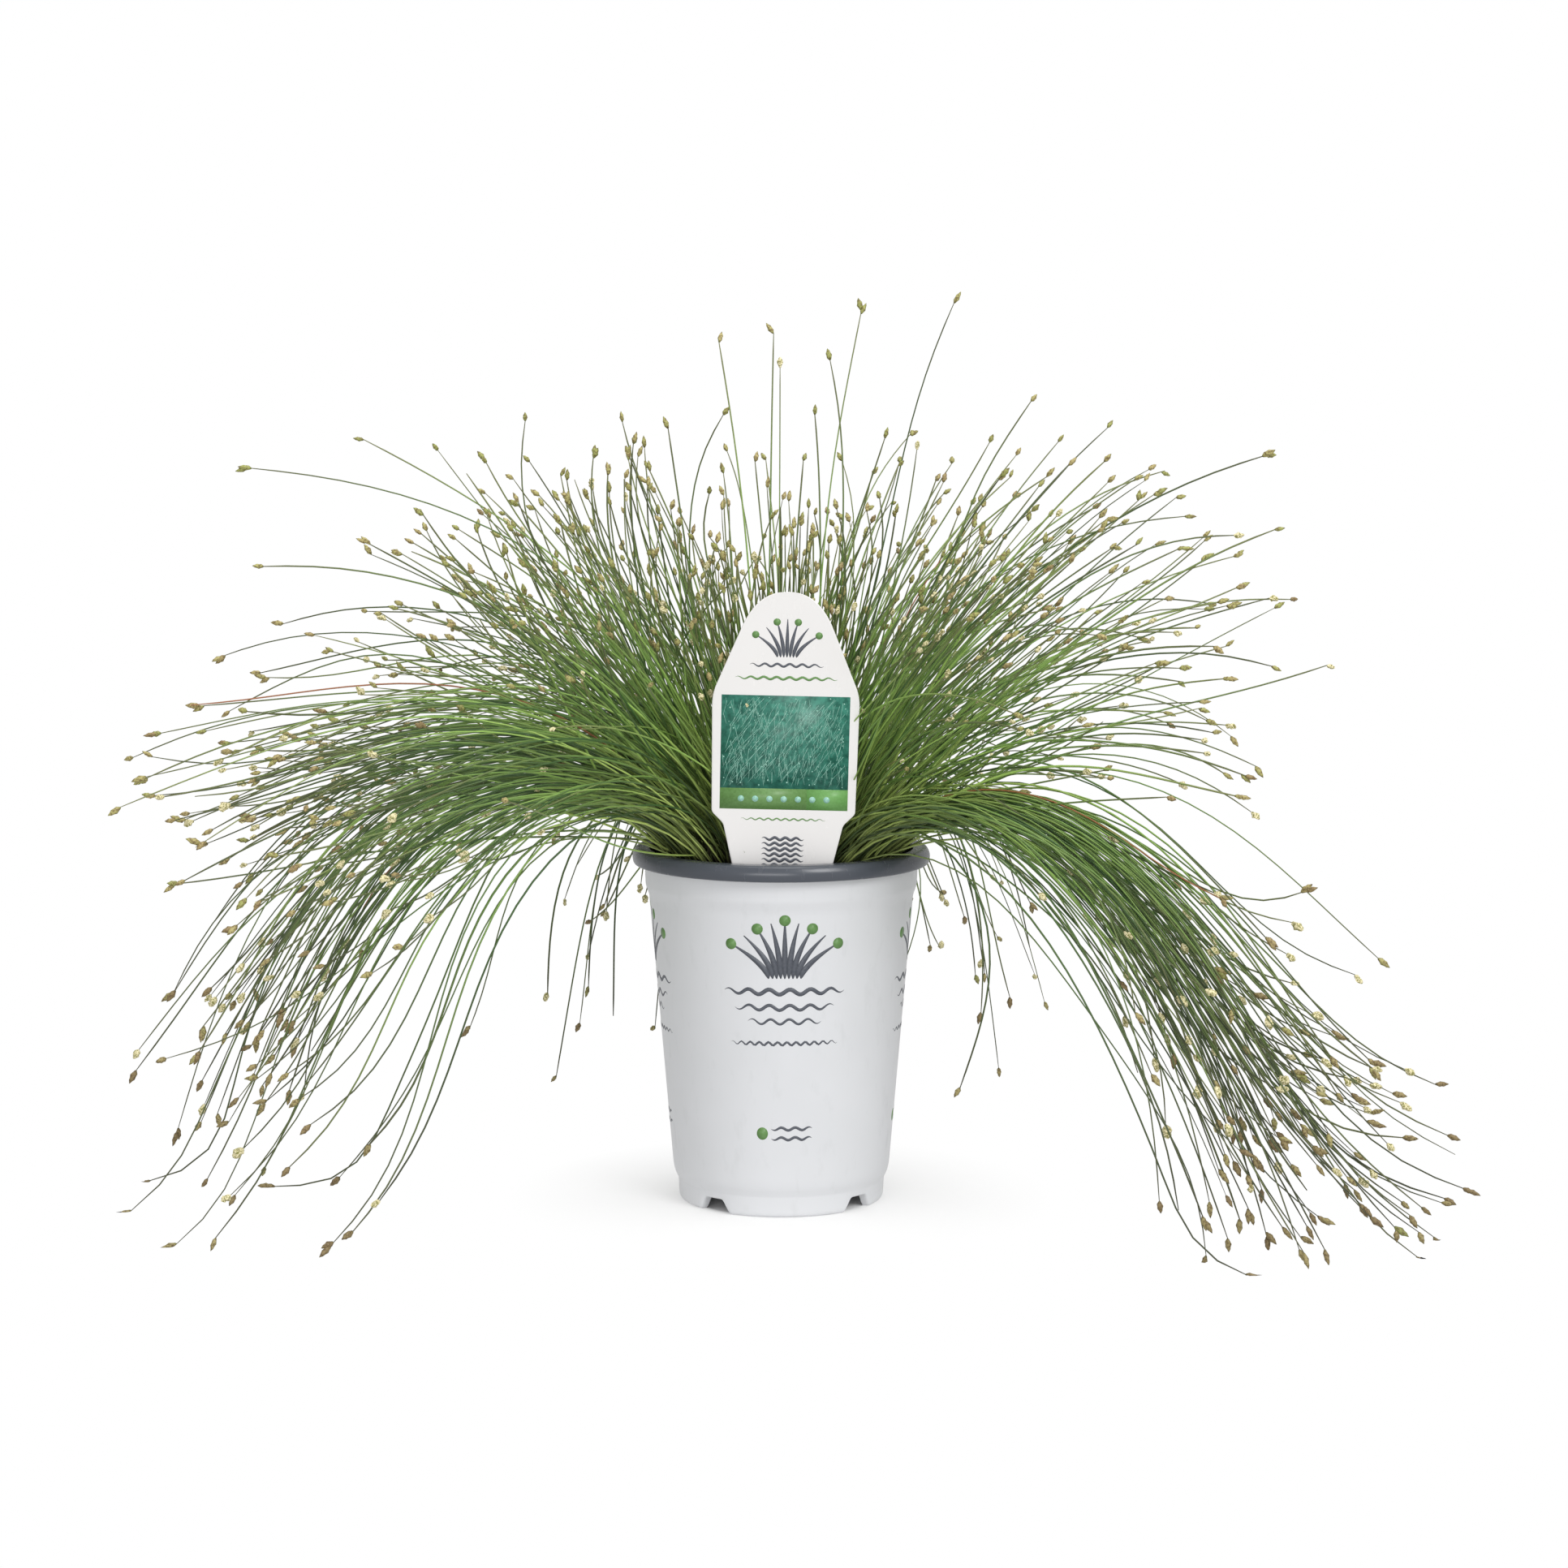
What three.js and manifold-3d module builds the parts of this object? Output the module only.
// Potted fiber optic grass: a thin-walled nursery pot, the potting soil in it, a plant label
// pushed into the soil at the front, and a tuft of arching stems that grows from a root crown.
// Millimetres, +Z up, the pot's axis on the Z axis and its foot on z = 0. The label faces -Y.
import * as THREE from 'three';
import { mergeVertices } from 'three/addons/utils/BufferGeometryUtils.js';
import Module from 'manifold-3d';

const wasm = await Module();
wasm.setup();

// Pot
const POT_HEIGHT = 129;
const POT_SIDES = 48;
const WALL = 1.2;
const FOOT_RADIUS = 37.2;
const FOOT_ROUNDING = 2.2;
const FOOT_BAND = 7.6;
const WALL_LOW = { radius: 39.3, z: 11.2 };
const WALL_HIGH = { radius: 47.8, z: 111.5 };
const COLLAR = { radius: 49.2, z: 115.5 };
const RIM_RADIUS = 54;
const RIM_INNER = 47.6;
const RIM_DEPTH = 6.4;
const FLOOR_Z = 5.6;
const FOOT_RING_WIDTH = 3.4;
const NOTCH = { count: 4, firstDeg: 49, topWidth: 7, bottomWidth: 15, height: 5 };
const DRAIN = { radius: 4.2, ring: 25.5 };

// Soil and root crown
const GAP = 0.3;
const SOIL_EDGE_Z = 123.6;
const SOIL_RISE = 2.2;
const CROWN_RADIUS = 41;
const CROWN_RISE = 3.4;
const CROWN_EDGE = 1.6;
const SOIL_SIDES = 32;
const CROWN_SIDES = 28;

// Plant label, measured along the label from the line where it leaves the pot
const LABEL = {
  thickness: 0.6,
  top: 99,
  headRadius: 14,
  shoulder: { half: 25.7, z: 61 },
  neck: { half: 17.3, z: 0 },
  hip: { half: 25.2, z: 20.5, chamfer: 4.2 },
  stake: { half: 6, z: -17 },
  point: -56,
};
const LABEL_PLACE = { x: 0.3, y: -43.2, z: 126.5, forwardDeg: 6, sideDeg: 1.3 };

// Locks of stems. A lock stands on a ring of the crown at the angle `stand`, heads off at the angle
// `head`, and leans from lean[0] to lean[1] degrees off vertical along its length, every second one
// `spread` degrees less and the others as much more. A `bend` over 1 puts the bending near the base,
// and a `flare` turns the last part outward again by that many degrees. Angles are in degrees, 0 to
// the right and 90 to the back.
const LOCK_SIDES = 6;
const LINE_STEPS = 60;
const FLARE_FROM = 0.6;
const LOCK_BASE = 4;
const LOCK_FLOOR = 3.2;
const LOCK_SHARE = 0.46;
const LEADER = 0.9;
const TIP = { radius: 1.7, length: 7 };
const UP = new THREE.Vector3(0, 0, 1);
const SPRAYS = [
  { name: 'upright', count: 6, ring: 8, stand: [20, 320], head: [20, 320],
    lean: [14, 27], spread: 4, bend: 1, length: [142, 158], turn: 0, radius: 9 },
  { name: 'tall', count: 4, ring: 14, stand: [-10, 134], head: [-10, 134],
    lean: [2, 18], spread: 5, bend: 1, length: [202, 184], turn: 0, radius: 2.4 },
  { name: 'reach', count: 2, ring: 14, stand: [0, 180], head: [-4, 184],
    lean: [24, 79], spread: -5, bend: 1, length: [222, 246], turn: 0, radius: 2.4 },
  { name: 'right_high', count: 5, ring: 20.5, stand: [-48, 48], head: [-52, 60],
    lean: [19, 54], spread: 6, bend: 1, length: [170, 180], turn: 5, radius: 12 },
  { name: 'back_high', count: 3, ring: 20.5, stand: [72, 108], head: [74, 106],
    lean: [20, 58], spread: 10, bend: 1, length: [166, 166], turn: 0, radius: 11 },
  { name: 'left_high', count: 5, ring: 20.5, stand: [132, 228], head: [127, 204],
    lean: [34, 49], spread: 13, bend: 1.5, length: [163, 184], turn: 6, radius: 12 },
  { name: 'front_high', count: 2, ring: 20.5, stand: [255, 285], head: [248, 292],
    lean: [8, 30], spread: 6, bend: 1, length: [122, 122], turn: 0, radius: 7 },
  { name: 'right_wide', count: 4, ring: 30, stand: [-44, 40], head: [-33, 33],
    lean: [30, 82], spread: 12, bend: 1, length: [180, 208], turn: 6, radius: 12 },
  { name: 'back_wide', count: 4, ring: 30, stand: [62, 118], head: [62, 118],
    lean: [32, 106], spread: 8, bend: 1.4, length: [147, 147], turn: 0, radius: 12 },
  { name: 'left_wide', count: 6, ring: 30, stand: [138, 238], head: [140, 217],
    lean: [30, 114], spread: -1, bend: 1.6, length: [222, 240], turn: -2, radius: 12 },
  { name: 'right_cascade', count: 5, ring: 38, stand: [-54, 12], head: [-33, -29], flare: [-12, 53],
    lean: [27, 151], spread: -1, bend: 3.2, length: [252, 283], turn: 8, radius: 11 },
  { name: 'back_cascade', count: 5, ring: 38, stand: [48, 132], head: [52, 128],
    lean: [24, 164], spread: 4, bend: 2.6, length: [204, 204], turn: 0, radius: 8 },
  { name: 'left_cascade', count: 5, ring: 38, stand: [168, 232], head: [173, 221], flare: [0, 52],
    lean: [26, 165], spread: 2, bend: 2.4, length: [297, 257], turn: 9, radius: 12 },
];

const COLOURS = {
  pot: ['#e9ebee', 0.35],
  soil: ['#2a201a', 1],
  crown: ['#4b4a22', 0.95],
  label: ['#f4f5f4', 0.3],
  stems: ['#5f8a35', 0.6],
};

function material([colour, roughness]) {
  return new THREE.MeshStandardMaterial({ color: colour, roughness, metalness: 0 });
}

function part(name, geometry, colour) {
  const mesh = new THREE.Mesh(geometry, material(colour));
  mesh.name = name;
  return mesh;
}

function toSolid(geometry) {
  const bare = geometry.clone();
  bare.deleteAttribute('normal');
  bare.deleteAttribute('uv');
  const merged = mergeVertices(bare, 1e-4);
  return new wasm.Manifold(new wasm.Mesh({
    numProp: 3,
    vertProperties: new Float32Array(merged.attributes.position.array),
    triVerts: new Uint32Array(merged.index.array),
  }));
}

function toGeometry(solid) {
  const mesh = solid.getMesh();
  const geometry = new THREE.BufferGeometry();
  geometry.setAttribute('position', new THREE.BufferAttribute(mesh.vertProperties, 3));
  geometry.setIndex(new THREE.BufferAttribute(mesh.triVerts, 1));
  geometry.computeVertexNormals();
  return geometry;
}

function cut(geometry, tools) {
  let solid = toSolid(geometry);
  for (const tool of tools) solid = solid.subtract(toSolid(tool));
  return toGeometry(solid);
}

// A solid of revolution about Z from [radius, z] points.
function revolve(points, sides) {
  const profile = points.map(([radius, z]) => new THREE.Vector2(radius, z));
  return new THREE.LatheGeometry(profile, sides).rotateX(Math.PI / 2);
}

// Points of a quarter round between two angles of a circle, ends included.
function arc(centreRadius, centreZ, radius, fromDeg, toDeg, steps) {
  return Array.from({ length: steps + 1 }, (_, i) => {
    const angle = THREE.MathUtils.degToRad(THREE.MathUtils.lerp(fromDeg, toDeg, i / steps));
    return [centreRadius + radius * Math.cos(angle), centreZ + radius * Math.sin(angle)];
  });
}

function wallRadius(z) {
  const t = (z - WALL_LOW.z) / (WALL_HIGH.z - WALL_LOW.z);
  return THREE.MathUtils.lerp(WALL_LOW.radius, WALL_HIGH.radius, t);
}

function potGeometry() {
  const outside = [
    [FOOT_RADIUS - FOOT_RING_WIDTH, 0],
    ...arc(FOOT_RADIUS - FOOT_ROUNDING, FOOT_ROUNDING, FOOT_ROUNDING, -90, 0, 3),
    [FOOT_RADIUS + 0.4, FOOT_BAND],
    [WALL_LOW.radius, WALL_LOW.z],
    [WALL_HIGH.radius, WALL_HIGH.z],
    [COLLAR.radius, COLLAR.z],
    [COLLAR.radius + 0.3, POT_HEIGHT - RIM_DEPTH],
    ...arc(RIM_RADIUS - 1.6, POT_HEIGHT - RIM_DEPTH + 1.6, 1.6, -90, 0, 3),
    ...arc(RIM_RADIUS - 1.4, POT_HEIGHT - 1.2, 1.2, 0, 90, 3),
  ];
  const inside = [
    ...arc(RIM_INNER + 0.9, POT_HEIGHT - 0.9, 0.9, 90, 180, 2),
    [WALL_HIGH.radius - WALL, WALL_HIGH.z],
    [WALL_LOW.radius - WALL, WALL_LOW.z],
    [FOOT_RADIUS - WALL, FLOOR_Z + WALL],
    [0, FLOOR_Z + WALL],
    [0, FLOOR_Z],
    [FOOT_RADIUS - FOOT_RING_WIDTH, FLOOR_Z],
    [FOOT_RADIUS - FOOT_RING_WIDTH, 0],
  ];
  const body = revolve([...outside, ...inside], POT_SIDES);
  const notch = new THREE.Shape([
    new THREE.Vector2(-NOTCH.bottomWidth / 2, -1),
    new THREE.Vector2(NOTCH.bottomWidth / 2, -1),
    new THREE.Vector2(NOTCH.bottomWidth / 2, 0),
    new THREE.Vector2(NOTCH.topWidth / 2, NOTCH.height),
    new THREE.Vector2(-NOTCH.topWidth / 2, NOTCH.height),
    new THREE.Vector2(-NOTCH.bottomWidth / 2, 0),
  ]);
  const tools = [];
  for (let i = 0; i < NOTCH.count; i += 1) {
    const angle = THREE.MathUtils.degToRad(NOTCH.firstDeg) + (i * 2 * Math.PI) / NOTCH.count;
    const slot = new THREE.ExtrudeGeometry(notch, { depth: 14, bevelEnabled: false });
    slot.rotateX(Math.PI / 2).translate(0, -FOOT_RADIUS + 7, 0).rotateZ(angle);
    const drain = new THREE.CylinderGeometry(DRAIN.radius, DRAIN.radius, 8, 16);
    drain.rotateX(Math.PI / 2).translate(0, -DRAIN.ring, FLOOR_Z).rotateZ(angle);
    tools.push(slot, drain);
  }
  return cut(body, tools);
}

function soilTop(radius) {
  const edge = WALL_HIGH.radius;
  return SOIL_EDGE_Z + SOIL_RISE * (1 - (radius / edge) ** 2);
}

function crownTop(radius) {
  return soilTop(radius) + GAP + CROWN_EDGE + CROWN_RISE * (1 - (radius / CROWN_RADIUS) ** 2);
}

function radiiFrom(outer, steps) {
  return Array.from({ length: steps + 1 }, (_, i) => outer * (1 - i / steps));
}

function labelOutline(grow) {
  const { headRadius, shoulder, neck, hip, stake, point, top } = LABEL;
  const shape = new THREE.Shape();
  shape.moveTo(0, point - grow);
  shape.lineTo(stake.half - 1.5 + grow, point + 12);
  shape.lineTo(stake.half + grow, stake.z);
  shape.lineTo(neck.half + grow, neck.z);
  shape.lineTo(hip.half - hip.chamfer + grow, hip.z - hip.chamfer);
  shape.lineTo(hip.half + grow, hip.z);
  shape.lineTo(shoulder.half + grow, shoulder.z - 2);
  shape.quadraticCurveTo(shoulder.half + grow, shoulder.z + 2, shoulder.half - 1.8 + grow, shoulder.z + 6);
  shape.lineTo(headRadius + 1.6 + grow, top - 12);
  shape.bezierCurveTo(headRadius - 1 + grow, top - 6, headRadius - 5.5, top + grow, 0, top + grow);
  return shape;
}

function labelGeometry(grow) {
  const thickness = LABEL.thickness + 2 * grow;
  const rightHalf = labelOutline(grow).getPoints(7);
  const leftHalf = rightHalf.slice(1, -1).reverse().map((p) => new THREE.Vector2(-p.x, p.y));
  const outline = new THREE.Shape([...rightHalf, ...leftHalf]);
  const plate = new THREE.ExtrudeGeometry(outline, { depth: thickness, bevelEnabled: false });
  return plate.translate(0, 0, -thickness / 2)
    .rotateZ(-THREE.MathUtils.degToRad(LABEL_PLACE.sideDeg))
    .rotateX(Math.PI / 2 + THREE.MathUtils.degToRad(LABEL_PLACE.forwardDeg))
    .translate(LABEL_PLACE.x, LABEL_PLACE.y, LABEL_PLACE.z);
}

function soilGeometry() {
  const floor = FLOOR_Z + WALL + GAP;
  const fit = WALL + GAP;
  const body = revolve([
    [0, floor],
    [FOOT_RADIUS - fit, floor],
    [wallRadius(WALL_LOW.z) - fit, WALL_LOW.z],
    [wallRadius(WALL_HIGH.z) - fit, WALL_HIGH.z],
    ...radiiFrom(WALL_HIGH.radius - fit, 4).map((radius) => [radius, soilTop(radius)]),
  ], SOIL_SIDES);
  return cut(body, [labelGeometry(GAP)]);
}

function crownGeometry() {
  const under = radiiFrom(CROWN_RADIUS, 3).reverse().map((radius) => [radius, soilTop(radius) + GAP]);
  const over = radiiFrom(CROWN_RADIUS, 4).map((radius) => [radius, crownTop(radius)]);
  return revolve([...under, ...over], CROWN_SIDES);
}

// The centre line of a spray's lock: points at even steps from its base. A lock long enough to reach
// the surface that the pot stands on lies along it from there.
function lockLine(spray, index, steps) {
  const share = index / (spray.count - 1);
  const endLean = spray.lean[1] + (index % 2 === 0 ? spray.spread : -spray.spread);
  const stand = THREE.MathUtils.degToRad(THREE.MathUtils.lerp(...spray.stand, share));
  const head = THREE.MathUtils.lerp(...spray.head, share);
  const length = THREE.MathUtils.lerp(...spray.length, share);
  const flare = spray.flare ? THREE.MathUtils.lerp(...spray.flare, share) : 0;
  const foot = crownTop(Math.max(0, spray.ring - LOCK_BASE)) + GAP;
  const point = new THREE.Vector3(spray.ring * Math.cos(stand), spray.ring * Math.sin(stand), foot);
  const line = [point.clone()];
  for (let i = 0; i < steps; i += 1) {
    const t = (i + 0.5) / steps;
    const bent = 1 - (1 - t) ** spray.bend;
    const turnedOut = flare * (Math.max(0, t - FLARE_FROM) / (1 - FLARE_FROM)) ** 2;
    const lean = THREE.MathUtils.degToRad(THREE.MathUtils.lerp(spray.lean[0], endLean, bent) - turnedOut);
    const heading = THREE.MathUtils.degToRad(head + spray.turn * t);
    const landed = point.z + (length / steps) * Math.cos(lean) < LOCK_FLOOR;
    const outward = landed ? length / steps : (length / steps) * Math.sin(lean);
    point.x += outward * Math.cos(heading);
    point.y += outward * Math.sin(heading);
    point.z = Math.max(LOCK_FLOOR, point.z + (length / steps) * Math.cos(lean));
    line.push(point.clone());
  }
  return line;
}

function allLocks() {
  return SPRAYS.flatMap((spray) => Array.from({ length: spray.count }, (_, i) => {
    const line = lockLine(spray, i, LINE_STEPS);
    const curve = new THREE.CatmullRomCurve3(line);
    return { name: `${spray.name}_${i + 1}`, spray, curve, line };
  }));
}

// The radius that a lock wants at the share t of its length: narrow at the base, full past the
// middle, then closing to the leader that carries the last spikelet.
function fullness(spray, t) {
  const open = THREE.MathUtils.smoothstep(t, 0, 0.6);
  const close = 1 - THREE.MathUtils.smoothstep(t, 0.62, 0.93);
  return LEADER + (spray.radius - LEADER) * (0.3 + 0.7 * open) * close;
}

// How near any other lock's centre line comes to this one between two shares of its length.
function clearance(lock, locks, from, to) {
  let nearest = Infinity;
  for (let i = Math.floor(from * LINE_STEPS); i <= Math.ceil(to * LINE_STEPS); i += 1) {
    for (const other of locks) {
      if (other !== lock) {
        for (const place of other.line) nearest = Math.min(nearest, lock.line[i].distanceToSquared(place));
      }
    }
  }
  return Math.sqrt(nearest);
}

// A lock is a spindle turned on a lathe and bent along its curve.
function lockGeometry(lock, locks) {
  const total = lock.curve.getLength();
  const tipShare = 1 - TIP.length / total;
  const shares = [0, 0.1, 0.22, 0.36, 0.52, 0.68, 0.84, tipShare];
  const profile = shares.map((t, i) => {
    const before = i > 0 ? (t + shares[i - 1]) / 2 : 0;
    const after = i < shares.length - 1 ? (t + shares[i + 1]) / 2 : 1;
    const room = LOCK_SHARE * clearance(lock, locks, before, after);
    const height = 0.85 * (lock.curve.getPointAt(t).z - 0.4);
    return new THREE.Vector2(Math.min(fullness(lock.spray, t), room, height), t);
  });
  const bulb = Math.min(TIP.radius, 0.75 * (lock.curve.getPointAt(1).z));
  profile.unshift(new THREE.Vector2(0, 0));
  profile.push(new THREE.Vector2(bulb, tipShare + 0.45 * (1 - tipShare)), new THREE.Vector2(0, 1));
  const spindle = new THREE.LatheGeometry(profile, LOCK_SIDES);
  const place = spindle.attributes.position;
  const tangent = new THREE.Vector3();
  for (let i = 0; i < place.count; i += 1) {
    const t = THREE.MathUtils.clamp(place.getY(i), 0, 1);
    lock.curve.getTangentAt(t, tangent);
    const side = new THREE.Vector3(tangent.y, -tangent.x, 0).normalize();
    const rise = new THREE.Vector3().crossVectors(t > 0 ? tangent : UP, side);
    const spot = lock.curve.getPointAt(t);
    spot.addScaledVector(rise, place.getX(i)).addScaledVector(side, place.getZ(i));
    place.setXYZ(i, spot.x, spot.y, spot.z);
  }
  spindle.computeVertexNormals();
  return spindle;
}

const plant = new THREE.Group();
plant.add(part('pot', potGeometry(), COLOURS.pot));
plant.add(part('potting_soil', soilGeometry(), COLOURS.soil));
plant.add(part('plant_label', labelGeometry(0), COLOURS.label));
plant.add(part('root_crown', crownGeometry(), COLOURS.crown));
const locks = allLocks();
for (const lock of locks) {
  plant.add(part(lock.name, lockGeometry(lock, locks), COLOURS.stems));
}

export default plant;
